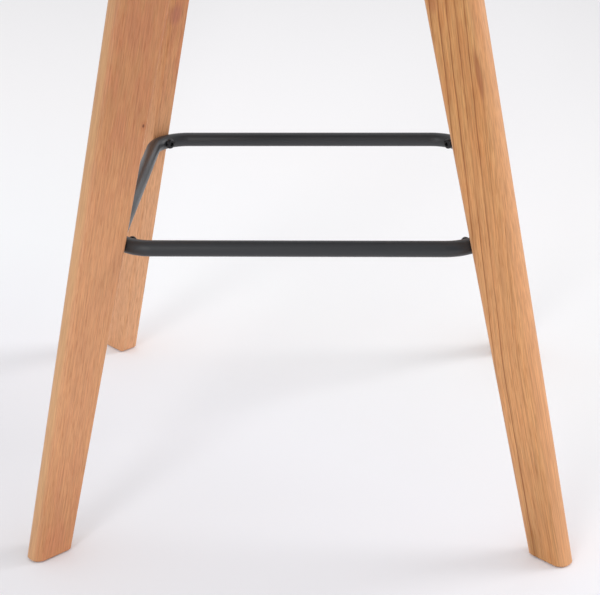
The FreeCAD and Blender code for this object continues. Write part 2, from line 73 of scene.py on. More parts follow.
def add_node(
    material: bpy.types.Material | bpy.types.World, kind: str, inputs: dict[Any, Any] | None = None,
    **settings: Any,
) -> bpy.types.Node:
    """Adds one shader node with its settings and links.

    Args:
        material: The material, or world, whose tree takes the node.
        kind: The node's type name.
        inputs: Input name or number to a value, or to the output socket that feeds it. None leaves it alone.
        **settings: Attributes to set on the node before its inputs.

    Returns:
        The new node.
    """
    tree = material.node_tree
    node = tree.nodes.new(kind)
    for name, value in settings.items():
        setattr(node, name, value)
    for key, value in (inputs or {}).items():
        if isinstance(value, bpy.types.NodeSocket):
            tree.links.new(value, node.inputs[key])
        elif value is not None:
            node.inputs[key].default_value = value
    return node


def new_material(name: str) -> bpy.types.Material:
    """Makes an empty node material.

    Args:
        name: The material's name.

    Returns:
        The material, with no nodes in its tree.
    """
    material = bpy.data.materials.new(name)
    material.use_nodes = True
    material.node_tree.nodes.clear()
    return material


def set_ramp(node: bpy.types.Node, stops: list[tuple[float, tuple[float, float, float, float]]]) -> None:
    """Sets a colour ramp's stops.

    Args:
        node: The colour ramp node.
        stops: Place and linear colour of each stop, in order.
    """
    elements = node.color_ramp.elements
    while len(elements) < len(stops):
        elements.new(0.5)
    for element, (place, colour) in zip(elements, stops):
        element.position = place
        element.color = colour


def grey(value: float) -> tuple[float, float, float, float]:
    """Makes a linear grey for use as a mask.

    Args:
        value: How bright it is, from 0 to 1.

    Returns:
        The grey with alpha 1.
    """
    return (value, value, value, 1.0)


def smooth_step(
    material: bpy.types.Material | bpy.types.World, value: bpy.types.NodeSocket, zero: float, one: float
) -> bpy.types.NodeSocket:
    """Turns a value into a soft mask.

    Args:
        material: The material or world.
        value: The value.
        zero: Where the mask is 0.
        one: Where the mask is 1.

    Returns:
        The mask.
    """
    low, high = min(zero, one), max(zero, one)
    ends = (0.0, 1.0) if zero < one else (1.0, 0.0)
    return add_node(material, "ShaderNodeMapRange", {
        "Value": value, "From Min": low, "From Max": high, "To Min": ends[0], "To Max": ends[1],
    }, interpolation_type="SMOOTHSTEP").outputs[0]


def lay_over(
    material: bpy.types.Material, mask: bpy.types.NodeSocket, ground: bpy.types.NodeSocket, colour: str,
    strength: float,
) -> bpy.types.NodeSocket:
    """Lays a colour over the ground where a mask is.

    Args:
        material: The material.
        mask: Where the colour goes.
        ground: The colour so far.
        colour: The hex colour to lay over it.
        strength: How much of it shows where the mask is 1.

    Returns:
        The blended colour.
    """
    factor = add_node(material, "ShaderNodeMath", {0: mask, 1: strength}, operation="MULTIPLY").outputs[0]
    return add_node(material, "ShaderNodeMix", {
        "Factor": factor, "A": ground, "B": linear(colour),
    }, data_type="RGBA").outputs["Result"]


def dress(name: str, material: bpy.types.Material) -> None:
    """Gives a CAD node a material in every slot.

    Args:
        name: The node's name.
        material: The finish.
    """
    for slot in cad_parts[name].material_slots:
        slot.material = material
    LOG.info("%s: %s", name, material.name)


def solids_of(node: str) -> list[list[Vector]]:
    """Splits a CAD node into its separate solids.

    Args:
        node: The node's name.

    Returns:
        The corner points of each solid, the solids in a fixed order.
    """
    bm = bmesh.new()
    bm.from_mesh(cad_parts[node].data)
    bmesh.ops.remove_doubles(bm, verts=bm.verts, dist=0.01 * MM)
    unseen = set(bm.verts)
    solids = []
    for first in bm.verts:
        if first not in unseen:
            continue
        unseen.discard(first)
        solid, front = [first.co.copy()], [first]
        while front:
            for edge in front.pop().link_edges:
                for corner in edge.verts:
                    if corner in unseen:
                        unseen.discard(corner)
                        solid.append(corner.co.copy())
                        front.append(corner)
        solids.append(solid)
    bm.free()
    return solids


def new_piece(name: str, bm: bmesh.types.BMesh, material: bpy.types.Material) -> None:
    """Makes a finished piece from a bmesh, with its faces outwards and rounded shading.

    Args:
        name: The piece's name.
        bm: Its shape, in metres in the model's frame. It is freed here.
        material: Its finish.
    """
    bmesh.ops.remove_doubles(bm, verts=bm.verts, dist=0.001 * MM)
    bmesh.ops.recalc_face_normals(bm, faces=bm.faces)
    for face in bm.faces:
        face.smooth = True
    mesh = bpy.data.meshes.new(name)
    bm.to_mesh(mesh)
    bm.free()
    mesh.materials.append(material)
    piece = bpy.data.objects.new(name, mesh)
    bpy.context.scene.collection.objects.link(piece)
    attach(piece, "root")
    LOG.info("%s: %d faces, %s", name, len(mesh.polygons), material.name)


def placed(middle: Vector, axis: Vector) -> Matrix:
    """Places a shape at a point, with its Z along an axis.

    Args:
        middle: Where its origin goes.
        axis: Where its Z points.

    Returns:
        The placement.
    """
    return Matrix.Translation(middle) @ axis.to_track_quat("Z", "Y").to_matrix().to_4x4()


def middle_of(points: list[Vector]) -> Vector:
    """Finds the middle of the box round some points.

    Args:
        points: The points.

    Returns:
        The middle.
    """
    return Vector([(min(p[i] for p in points) + max(p[i] for p in points)) / 2 for i in range(3)])


def spin_outline(
    bm: bmesh.types.BMesh, outline: list[Vector], middle: Vector, axis: Vector, steps: int
) -> None:
    """Turns a closed outline all the way round an axis, for a ring.

    Args:
        bm: The bmesh that takes the ring.
        outline: The outline's corners, in order.
        middle: A point on the axis.
        axis: The axis.
        steps: How many steps the full turn has.
    """
    corners = [bm.verts.new(place) for place in outline]
    edges = [bm.edges.new(pair) for pair in zip(corners, corners[1:] + corners[:1])]
    bmesh.ops.spin(bm, geom=corners + edges, cent=middle, axis=axis, angle=2 * math.pi, steps=steps,
                   use_merge=True)


@dataclass(frozen=True)
class Bead:
    """A weld bead: a bar with a ripple for every puddle, sunk by half in the corner that it fills."""

    start: Vector
    along: Vector
    length: float
    radius: float
    ripple: float = 1.8 * MM             # from one puddle to the next
    ripple_depth: float = 0.18           # as a share of the radius
    end_radius: float = 0.6              # where the bead starts and stops, as a share of the radius
    sides: int = 12

    def add_to(self, bm: bmesh.types.BMesh) -> None:
        """Adds the bead to a bmesh.

        Args:
            bm: The bmesh.
        """
        turn = placed(self.start, self.along)
        radius = self.radius * self.end_radius
        loop = bmesh.ops.create_circle(bm, segments=self.sides, radius=radius, matrix=turn)["verts"]
        edges = list(dict.fromkeys(edge for corner in loop for edge in corner.link_edges))
        ends = list(edges)
        steps = 2 * round(self.length / self.ripple)
        width = self.end_radius
        for step in range(1, steps + 1):
            wanted = self.end_radius if step == steps else 1.0 - self.ripple_depth * (step % 2)
            new = bmesh.ops.extrude_edge_only(bm, edges=edges)["geom"]
            corners = [part for part in new if isinstance(part, bmesh.types.BMVert)]
            edges = [part for part in new if isinstance(part, bmesh.types.BMEdge)]
            bmesh.ops.translate(bm, verts=corners, vec=self.along * (self.length / steps))
            middle = Matrix.Translation(-(self.start + self.along * (self.length * step / steps)))
            bmesh.ops.scale(bm, verts=corners, vec=Vector((1, 1, 1)) * (wanted / width), space=middle)
            width = wanted
        bmesh.ops.holes_fill(bm, edges=ends + edges, sides=0)


# ---------------------------------------------------------------- finishes
@dataclass(frozen=True)
class Board:
    """Where a leg's board lies: its own x across its width, y through its thickness and z along its grain."""

    foot: Vector
    turn: Euler

    @classmethod
    def of(cls, node: str) -> "Board":
        """Reads the board's middle line from a leg's two ends.

        Args:
            node: The leg's node.

        Returns:
            The board's place and direction.
        """
        points = [v.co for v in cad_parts[node].data.vertices]
        low, high = min(p.z for p in points), max(p.z for p in points)
        foot, top = (middle_of([p for p in points if abs(p.z - level) < MM]) for level in (low, high))
        along = (top - foot).normalized()
        through = along.cross(Vector((foot.x, foot.y, 0))).normalized()
        across = through.cross(along)
        turn = Matrix((across, through, along)).transposed().to_euler()
        return cls(foot, turn)


@dataclass(frozen=True)
class Mark:
    """A knot, a stained patch, or a stretch of painted light and shade on a board: its middle, its half sizes
    and what it does to the colour.
    """

    middle_mm: tuple[float, float, float]
    size_mm: tuple[float, float, float]
    colour: str
    strength: float
    core: float = 0.35                   # the share of its half sizes in which it is at full strength


@dataclass(frozen=True)
class SapwoodAndSheen:
    """A paler band along one side of a board, fading across it: partly young outer wood, partly painted sheen
    where a rounded edge catches the light.
    """

    towards: tuple[float, float, float]  # the board's own direction in which it gets paler
    start_mm: float                      # from the board's middle line
    end_mm: float
    colour: str
    strength: float
    lines_left: float = 0.25             # of the year lines and pores that still show in it


@dataclass(frozen=True)
class Oak:
    """Solid oak under a matt clear oil: ring-porous, so each year starts with a dark line of open pores."""

    name: str
    board: Board
    pale: str
    warm: str
    line: str
    ring_mm: float
    pith_mm: tuple[float, float]
    line_strength: float
    lean: float = 0.018                  # how fast the grain moves outwards, going up
    straight_mm: float = 0.0             # the height from which the grain leans
    year_depth: float = 0.35             # of the palest year's line, against the darkest
    quiet_mm: float | None = None        # across the board: the years that lie further out are paler
    line_width: float = 1.0              # of the dark early wood, against its usual share of a year
    wander_mm: float = 5.0               # how far the rings bend to either side
    tone_mm: tuple[float, float, float] = (7.0, 7.0, 60.0)       # of the change between pale and warm
    fibre_mm: tuple[float, float] = (1.3, 10.0)  # a real fibre is far finer, drawn coarser so that it shows
    fibre_depth: float = 0.1
    bend_mm: tuple[float, float, float] = (45.0, 45.0, 330.0)    # of the slow noise that bends the rings
    jitter_mm: tuple[float, float, float] = (3.0, 3.0, 18.0)     # of the quick noise that roughens them
    jitter_depth_mm: float = 1.6
    fade_mm: tuple[float, float, float] = (8.0, 8.0, 80.0)       # of the stretches where a line fades out
    quiet_depth: float = 0.3             # of a line outside the quiet place
    quiet_blur_mm: float = 3.0
    lean_blur_mm: float = 60.0           # how gently the lean sets in
    pore_mm: tuple[float, float] = (1.2, 9.0)   # a real pore is 0.3 mm wide, drawn coarser so that it shows
    pore_colour: str = "#8F5528"
    pore_strength: float = 0.4
    pore_relief: float = 1.2             # how deep a pore is, against a fibre
    relief_mm: float = 0.2
    roughness: tuple[float, float] = (0.5, 0.75)                 # of the wood and of its pores
    painted_light_and_shade: tuple[Mark, ...] = ()     # painted light and shade along the board, under its lines
    marks: tuple[Mark, ...] = ()
    sapwood_and_sheen: tuple[SapwoodAndSheen, ...] = ()

    def build(self) -> bpy.types.Material:
        """Builds the finish.

        Returns:
            The material, patterned in the board's own directions.
        """
        m = new_material(self.name)
        place = add_node(m, "ShaderNodeTexCoord").outputs["Object"]
        local = add_node(m, "ShaderNodeMapping", {
            "Vector": place, "Location": self.board.foot, "Rotation": self.board.turn, "Scale": (MM, MM, MM),
        }, vector_type="TEXTURE").outputs["Vector"]

        grain = self._grain(m, local)
        lines = self._year_lines(m, grain)
        tone = self._noise(m, grain, self.tone_mm, detail=3.0)
        fibre = self._noise(m, grain, (self.fibre_mm[0], self.fibre_mm[0], self.fibre_mm[1]))
        pores = self._pores(m, grain, lines)

        # Noise keeps near one half, so a narrow range about it already gives two clear tones.
        ground = add_node(m, "ShaderNodeMix", {
            "Factor": smooth_step(m, tone, 0.36, 0.64), "A": linear(self.pale), "B": linear(self.warm),
        }, data_type="RGBA").outputs["Result"]
        # Painted light and shade along the board: paler where the floor's light falls on its lower half,
        # darker at a foot whose floor lies in shade.
        for painted_stretch in self.painted_light_and_shade:
            ground = lay_over(m, self._spot(m, local, painted_stretch), ground, painted_stretch.colour, painted_stretch.strength)
        # Paler bands: partly young outer wood, partly painted sheen on a lit rounded edge. The lines and
        # pores fade in them too.
        for sapwood_and_sheen in self.sapwood_and_sheen:
            band = self._band(m, local, sapwood_and_sheen)
            ground = lay_over(m, band, ground, sapwood_and_sheen.colour, sapwood_and_sheen.strength)
            lines_showing = add_node(m, "ShaderNodeMapRange", {
                "Value": band, "From Min": 0.0, "From Max": 1.0,
                "To Min": 1.0, "To Max": sapwood_and_sheen.lines_left}).outputs[0]
            lines = add_node(m, "ShaderNodeMath", {0: lines, 1: lines_showing}, operation="MULTIPLY").outputs[0]
            pores = add_node(m, "ShaderNodeMath", {0: pores, 1: lines_showing}, operation="MULTIPLY").outputs[0]
        colour = lay_over(m, lines, ground, self.line, self.line_strength)
        for mark in self.marks:
            colour = lay_over(m, self._spot(m, local, mark), colour, mark.colour, mark.strength)
        colour = lay_over(m, pores, colour, self.pore_colour, self.pore_strength)
        colour = self._shade(m, colour, fibre)

        sunk = add_node(m, "ShaderNodeMath", {0: pores, 1: self.pore_relief}, operation="MULTIPLY").outputs[0]
        height = add_node(m, "ShaderNodeMath", {0: fibre, 1: sunk}, operation="SUBTRACT").outputs[0]
        bump = add_node(m, "ShaderNodeBump", {
            "Height": height, "Strength": 0.2, "Distance": self.relief_mm * MM})
        rough = add_node(m, "ShaderNodeMapRange", {
            "Value": pores, "From Min": 0.0, "From Max": 1.0,
            "To Min": self.roughness[0], "To Max": self.roughness[1],
        })
        shader = add_node(m, "ShaderNodeBsdfPrincipled", {
            "Base Color": colour, "Roughness": rough.outputs[0], "IOR": 1.5, "Normal": bump.outputs[0],
        })
        add_node(m, "ShaderNodeOutputMaterial", {"Surface": shader.outputs[0]})
        return m

    def _grain(self, m: bpy.types.Material, local: bpy.types.NodeSocket) -> bpy.types.NodeSocket:
        """Coordinates that follow the grain: straight at the foot, then leaning outwards.

        Args:
            m: The material.
            local: The board's own coordinates, in millimetres.

        Returns:
            The coordinates along the grain, in millimetres.
        """
        height = add_node(m, "ShaderNodeSeparateXYZ", {0: local}).outputs["Z"]
        above = add_node(m, "ShaderNodeMath", {
            0: height, 1: self.straight_mm}, operation="SUBTRACT").outputs[0]
        climbed = add_node(m, "ShaderNodeMath", {
            0: above, 1: 0.0, 2: self.lean_blur_mm}, operation="SMOOTH_MAX").outputs[0]
        return add_node(m, "ShaderNodeVectorMath", {
            0: climbed, 1: (-self.lean, 0.0, 0.0), 2: local}, operation="MULTIPLY_ADD").outputs[0]

    def _noise(
        self, m: bpy.types.Material, local: bpy.types.NodeSocket, size_mm: tuple[float, float, float],
        detail: float = 2.0,
    ) -> bpy.types.NodeSocket:
        """Noise whose grains have a size of their own in each direction.

        Args:
            m: The material.
            local: The board's own coordinates, in millimetres.
            size_mm: Grain size across, through and along the board.
            detail: Octaves of finer noise.

        Returns:
            The noise's value.
        """
        scaled = add_node(m, "ShaderNodeMapping", {
            "Vector": local, "Scale": tuple(1 / size for size in size_mm),
        }, vector_type="POINT").outputs["Vector"]
        return add_node(m, "ShaderNodeTexNoise", {
            "Vector": scaled, "Scale": 1.0, "Detail": detail}).outputs["Fac"]

    def _year_lines(self, m: bpy.types.Material, grain: bpy.types.NodeSocket) -> bpy.types.NodeSocket:
        """Growth rings: cylinders about the pith, bent by slow noise, some years darker than others.

        Args:
            m: The material.
            grain: Coordinates along the grain, in millimetres.

        Returns:
            Mask of the dark early wood, 1 where each year starts.
        """
        about_pith = add_node(m, "ShaderNodeVectorMath", {
            0: grain, 1: (self.pith_mm[0], self.pith_mm[1], 0.0),
        }, operation="SUBTRACT").outputs[0]
        flat = add_node(m, "ShaderNodeVectorMath", {
            0: about_pith, 1: (1.0, 1.0, 0.0),
        }, operation="MULTIPLY").outputs[0]
        radius = add_node(m, "ShaderNodeVectorMath", {0: flat}, operation="LENGTH").outputs["Value"]
        slow = self._noise(m, grain, self.bend_mm)
        quick = self._noise(m, grain, self.jitter_mm)
        bent = add_node(m, "ShaderNodeMath", {
            0: slow, 1: self.wander_mm * 2, 2: radius,
        }, operation="MULTIPLY_ADD").outputs[0]
        bent = add_node(m, "ShaderNodeMath", {
            0: quick, 1: self.jitter_depth_mm, 2: bent}, operation="MULTIPLY_ADD").outputs[0]
        years = add_node(m, "ShaderNodeMath", {0: bent, 1: self.ring_mm}, operation="DIVIDE").outputs[0]
        phase = add_node(m, "ShaderNodeMath", {0: years}, operation="FRACT").outputs[0]
        ramp = add_node(m, "ShaderNodeValToRGB", {"Fac": phase})
        # Where in a year its line is how dark: a sharp edge of open pores, then slowly paler.
        shares = ((0.0, 0.0), (0.05, 1.0), (0.15, 0.85), (0.3, 0.25), (0.7, 0.0))
        set_ramp(ramp, [(place * self.line_width, grey(depth)) for place, depth in shares])
        year = add_node(m, "ShaderNodeMath", {0: years}, operation="FLOOR").outputs[0]
        chance = add_node(m, "ShaderNodeTexWhiteNoise", {"W": year}, noise_dimensions="1D").outputs["Value"]
        depth = add_node(m, "ShaderNodeMapRange", {
            "Value": chance, "From Min": 0.0, "From Max": 1.0, "To Min": self.year_depth, "To Max": 1.0,
        }).outputs[0]
        # A line fades out only where this noise is at its lowest.
        fading = smooth_step(m, self._noise(m, grain, self.fade_mm), 0.2, 0.44)
        line = add_node(m, "ShaderNodeMath", {0: ramp.outputs[0], 1: depth}, operation="MULTIPLY").outputs[0]
        line = add_node(m, "ShaderNodeMath", {0: line, 1: fading}, operation="MULTIPLY").outputs[0]
        if self.quiet_mm is None:
            return line
        across = add_node(m, "ShaderNodeSeparateXYZ", {0: grain}).outputs["X"]
        calm = add_node(m, "ShaderNodeMapRange", {
            "Value": across, "To Min": 1.0, "To Max": self.quiet_depth,
            "From Min": self.quiet_mm - self.quiet_blur_mm,
            "From Max": self.quiet_mm + self.quiet_blur_mm}).outputs[0]
        return add_node(m, "ShaderNodeMath", {0: line, 1: calm}, operation="MULTIPLY").outputs[0]

    def _pores(
        self, m: bpy.types.Material, grain: bpy.types.NodeSocket, lines: bpy.types.NodeSocket
    ) -> bpy.types.NodeSocket:
        """Open pores: short dashes along the grain, thickest in the early wood.

        Args:
            m: The material.
            grain: Coordinates along the grain, in millimetres.
            lines: Mask of the early wood.

        Returns:
            Mask of the pores.
        """
        width, length = self.pore_mm
        # Only the upper half of this noise makes dashes. They are fainter between the dark lines.
        dashes = smooth_step(m, self._noise(m, grain, (width, width, length), detail=1.0), 0.5, 0.64)
        share = add_node(m, "ShaderNodeMapRange", {
            "Value": lines, "From Min": 0.0, "From Max": 0.8, "To Min": 0.6, "To Max": 1.0,
        }).outputs[0]
        return add_node(m, "ShaderNodeMath", {0: dashes, 1: share}, operation="MULTIPLY").outputs[0]

    def _shade(
        self, m: bpy.types.Material, colour: bpy.types.NodeSocket, value: bpy.types.NodeSocket
    ) -> bpy.types.NodeSocket:
        """Lightens and darkens a colour with the fibres.

        Args:
            m: The material.
            colour: The colour.
            value: The fibres, about one half.

        Returns:
            The shaded colour.
        """
        factor = add_node(m, "ShaderNodeMapRange", {
            "Value": value, "From Min": NOISE[0], "From Max": NOISE[1],
            "To Min": 1 - self.fibre_depth, "To Max": 1 + self.fibre_depth,
        }).outputs[0]
        return add_node(m, "ShaderNodeVectorMath", {0: colour, "Scale": factor}, operation="SCALE").outputs[0]

    def _band(
        self, m: bpy.types.Material, local: bpy.types.NodeSocket, sapwood_and_sheen: SapwoodAndSheen
    ) -> bpy.types.NodeSocket:
        """Mask of a paler band: partly young outer wood, partly painted sheen on a rounded edge.

        Args:
            m: The material.
            local: The board's own coordinates, in millimetres.
            sapwood_and_sheen: The band.

        Returns:
            The mask, 1 where the wood is palest.
        """
        outwards = add_node(m, "ShaderNodeVectorMath", {
            0: local, 1: sapwood_and_sheen.towards}, operation="DOT_PRODUCT").outputs["Value"]
        return smooth_step(m, outwards, sapwood_and_sheen.start_mm, sapwood_and_sheen.end_mm)

    def _spot(
        self, m: bpy.types.Material, local: bpy.types.NodeSocket, mark: Mark
    ) -> bpy.types.NodeSocket:
        """Mask of one mark, soft at its edge.

        Args:
            m: The material.
            local: The board's own coordinates, in millimetres.
            mark: The mark.

        Returns:
            The mask.
        """
        off = add_node(m, "ShaderNodeVectorMath", {
            0: local, 1: mark.middle_mm}, operation="SUBTRACT").outputs[0]
        unit = add_node(m, "ShaderNodeVectorMath", {0: off, 1: mark.size_mm}, operation="DIVIDE").outputs[0]
        far = add_node(m, "ShaderNodeVectorMath", {0: unit}, operation="LENGTH").outputs["Value"]
        return smooth_step(m, far, 1.0, mark.core)


@dataclass(frozen=True)
class PowderCoat:
    """Matt black polyester powder on steel: an even, slightly pebbled film that greys at a glancing angle."""

    name: str = "matt_black_powder_coat"
    colour: str = "#2B2D30"
    pebble_mm: float = 1.1               # really about 0.5 mm, drawn coarser so that it shows
    pebble_depth_mm: float = 0.05
    cloud_mm: float = 55.5               # of the slow change in its gloss
    roughness: float = 0.4
    gloss_spread: tuple[float, float] = (-0.05, 0.06)    # round the roughness

    def build(self) -> bpy.types.Material:
        """Builds the finish.

        Returns:
            The material, the same all over but for its pebble and a faint cloud in its gloss.
        """
        m = new_material(self.name)
        place = add_node(m, "ShaderNodeTexCoord").outputs["Object"]
        pebble = add_node(m, "ShaderNodeTexNoise", {
            "Vector": place, "Scale": 1 / (self.pebble_mm * MM), "Detail": 2.0,
        }).outputs["Fac"]
        cloud = add_node(m, "ShaderNodeTexNoise", {
            "Vector": place, "Scale": 1 / (self.cloud_mm * MM), "Detail": 3.0}).outputs["Fac"]
        rough = add_node(m, "ShaderNodeMapRange", {
            "Value": cloud, "From Min": NOISE[0], "From Max": NOISE[1],
            "To Min": self.roughness + self.gloss_spread[0], "To Max": self.roughness + self.gloss_spread[1],
        }).outputs[0]
        bump = add_node(m, "ShaderNodeBump", {
            "Height": pebble, "Strength": 0.25, "Distance": self.pebble_depth_mm * MM})
        shader = add_node(m, "ShaderNodeBsdfPrincipled", {
            "Base Color": linear(self.colour), "Roughness": rough, "IOR": 1.5, "Normal": bump.outputs[0],
        })
        add_node(m, "ShaderNodeOutputMaterial", {"Surface": shader.outputs[0]})
        return m


@dataclass(frozen=True)
class Plain:
    """A plain hard finish with a fine surface grain: moulded plastic, rubber, or plated or turned metal."""

    name: str
    colour: str
    roughness: float
    metallic: float = 0.0
    ior: float = 1.5
    grain_mm: float = 0.6                # a real spark-eroded or plated grain is under 0.2 mm, drawn coarser
    grain_depth_mm: float = 0.02
    gloss_spread: float = 0.1            # round the roughness, as a share of it

    def build(self) -> bpy.types.Material:
        """Builds the finish.

        Returns:
            The material, the same all over but for its grain.
        """
        m = new_material(self.name)
        place = add_node(m, "ShaderNodeTexCoord").outputs["Object"]
        grain = add_node(m, "ShaderNodeTexNoise", {
            "Vector": place, "Scale": 1 / (self.grain_mm * MM), "Detail": 2.0,
        }).outputs["Fac"]
        rough = add_node(m, "ShaderNodeMapRange", {
            "Value": grain, "From Min": NOISE[0], "From Max": NOISE[1],
            "To Min": self.roughness * (1 - self.gloss_spread),
            "To Max": min(self.roughness * (1 + self.gloss_spread), 1.0),
        }).outputs[0]
        bump = add_node(m, "ShaderNodeBump", {
            "Height": grain, "Strength": 0.4, "Distance": self.grain_depth_mm * MM,
        })
        shader = add_node(m, "ShaderNodeBsdfPrincipled", {
            "Base Color": linear(self.colour), "Roughness": rough, "Metallic": self.metallic, "IOR": self.ior,
            "Normal": bump.outputs[0],
        })
        add_node(m, "ShaderNodeOutputMaterial", {"Surface": shader.outputs[0]})
        return m


# ---------------------------------------------------------------- sub-assemblies
class Legs:
    """The four oak legs, each sawn from a board of its own, with their glides."""

    def dress(self) -> None:
        """Gives every leg its own board of oak, and the glides and nails their finishes."""
        nodes = ("leg_front_left", "leg_front_right", "leg_rear_left", "leg_rear_right")
        boards = {node: Board.of(node) for node in nodes}
        oaks = {
            "leg_front_left": Oak(
                "oiled_oak_front_left", boards["leg_front_left"], "#C1875A", "#BF7F57", "#97552D",
                ring_mm=2.6, pith_mm=(-46.0, 62.0), line_strength=0.18, tone_mm=(12.0, 12.0, 42.0),
                fibre_mm=(0.8, 24.0), fibre_depth=0.14, pore_mm=(0.9, 11.0), pore_colour="#A05A30",
                pore_strength=0.32,
                # Painted light: paler over the lower half, where the floor's light falls.
                painted_light_and_shade=(Mark((0.0, 0.0, 215.0), (150.0, 150.0, 215.0), "#DA9F72", 0.65),),
                marks=(
                    Mark((-17.9, 11.0, 399.1), (5.0, 8.0, 7.0), "#B06A42", 0.5),
                    Mark((-17.9, 11.0, 399.1), (1.6, 4.0, 2.2), "#5E2F16", 0.9)),
                # Paler edge: partly young outer wood, partly painted sheen where the rounded edge catches the
                # light.
                sapwood_and_sheen=(SapwoodAndSheen((0.0, -1.0, 0.0), -8.0, -3.0, "#C9A274", 0.55),)),
            "leg_front_right": Oak(
                "oiled_oak_front_right", boards["leg_front_right"], "#CC955D", "#C98B54", "#86481A",
                ring_mm=9.0, pith_mm=(-118.6, 19.0), line_strength=0.95, line_width=0.6, lean=0.085,
                straight_mm=180.0, wander_mm=2.0, year_depth=0.75, quiet_mm=-5.5, tone_mm=(9.0, 9.0, 40.0),
                fibre_mm=(0.9, 40.0), fibre_depth=0.18, pore_mm=(1.0, 16.0), pore_colour="#9A5A22",
                pore_strength=0.45,
                # Painted light over the lower half, and painted shade at the foot.
                painted_light_and_shade=(
                    Mark((0.0, 0.0, 215.0), (150.0, 150.0, 215.0), "#D69B68", 0.6),
                    Mark((0.0, 0.0, 0.0), (200.0, 200.0, 130.0), "#AE7D50", 0.4)),
                marks=(
                    Mark((22.5, -11.0, 440.0), (3.5, 9.0, 30.0), "#9A5428", 0.7),
                    Mark((-8.0, -11.0, 12.0), (7.0, 12.0, 30.0), "#8A5A28", 0.5),
                    Mark((-15.0, -9.0, 505.0), (8.0, 9.0, 14.0), "#A8603A", 0.5)),
                # Paler sides: partly young outer wood, partly painted light on the rounded side.
                sapwood_and_sheen=(SapwoodAndSheen((0.0, 1.0, 0.0), -10.0, -6.5, "#DA9D70", 0.55),
                         SapwoodAndSheen((-1.0, 0.0, -0.018), 10.0, 15.0, "#CC9A74", 0.6))),
            "leg_rear_left": Oak(
                "oiled_oak_rear_left", boards["leg_rear_left"], "#C98B5A", "#C27A4E", "#A0643A",
                ring_mm=3.2, pith_mm=(50.0, 60.0), line_strength=0.35, fibre_mm=(0.9, 30.0), fibre_depth=0.15,
                pore_mm=(1.0, 14.0),
                # Painted light: paler over the lower half and the middle.
                painted_light_and_shade=(Mark((0.0, 0.0, 140.0), (150.0, 150.0, 270.0), "#D8A074", 0.85),),
                marks=(
                    Mark((-26.0, 6.0, 438.0), (12.0, 12.0, 16.0), "#A8624E", 0.6),),
                # Paler side: partly young outer wood, partly painted light on the side that faces the light.
                sapwood_and_sheen=(SapwoodAndSheen((-1.0, 0.0, -0.018), 15.0, 19.0, "#E0B088", 0.7),)),
            "leg_rear_right": Oak(
                "oiled_oak_rear_right", boards["leg_rear_right"], "#C48F5D", "#B97F4C", "#8F582B",
                ring_mm=4.0, pith_mm=(-20.0, -34.0), line_strength=0.7, fibre_mm=(0.9, 30.0),
                fibre_depth=0.15, pore_mm=(1.0, 14.0)),
        }
        for node, oak in oaks.items():
            dress(node, oak.build())
        # Brown nylon, moulded: dull and slightly waxy, and dark enough to read as a thin line under a foot.
        dress("floor_glides", Plain("moulded_nylon_glide", "#3A2E27", 0.55).build())
        # Bright zinc plate on a drawn nail and a turned insert: pale cold metal, a little cloudy.
        zinc = Plain("bright_zinc_plate", "#B9BBBE", 0.35, metallic=1.0).build()
        for node in ("glide_nails", "leg_inserts"):
            dress(node, zinc)


@dataclass(frozen=True)
class Footrest:
    """The bent tube ring and the screws inside its corners."""

    joint_width: float = 4.0 * MM        # of the dressed weld where the tube's two ends meet
    joint_crown: float = 2.0 * MM        # of its flat middle
    joint_height: float = 0.22 * MM      # how far it stands out of the tube
    joint_root: float = 0.3 * MM         # how far it goes into the tube
    joint_steps: int = 48

    def build(self, coat: bpy.types.Material, black_zinc: bpy.types.Material) -> None:
        """Dresses the ring and its screws and adds the weld that closes the ring.

        Args:
            coat: The powder coat.
            black_zinc: The screws' plating.
        """
        dress("footrest_ring", coat)
        dress("footrest_screws", black_zinc)
        self._closing_weld(coat)

    def _closing_weld(self, coat: bpy.types.Material) -> None:
        """The butt weld in the middle of the right-hand rail, ground down to a low band and coated over.

        Args:
            coat: The powder coat.
        """
        low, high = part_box("footrest_ring")
        radius = (high.z - low.z) / 2
        middle = Vector((high.x - radius, 0.0, (low.z + high.z) / 2))
        half, crown = self.joint_width / 2, self.joint_crown / 2
        root, rise = radius - self.joint_root, radius + self.joint_height
        outline = ((-half, root), (-half, radius), (-crown, rise), (crown, rise), (half, radius),
                   (half, root))
        corners = [middle + Vector((0.0, y, z)) for y, z in outline]
        bm = bmesh.new()
        spin_outline(bm, corners, middle, Vector((0.0, 1.0, 0.0)), self.joint_steps)
        new_piece("ring_closing_weld", bm, coat)


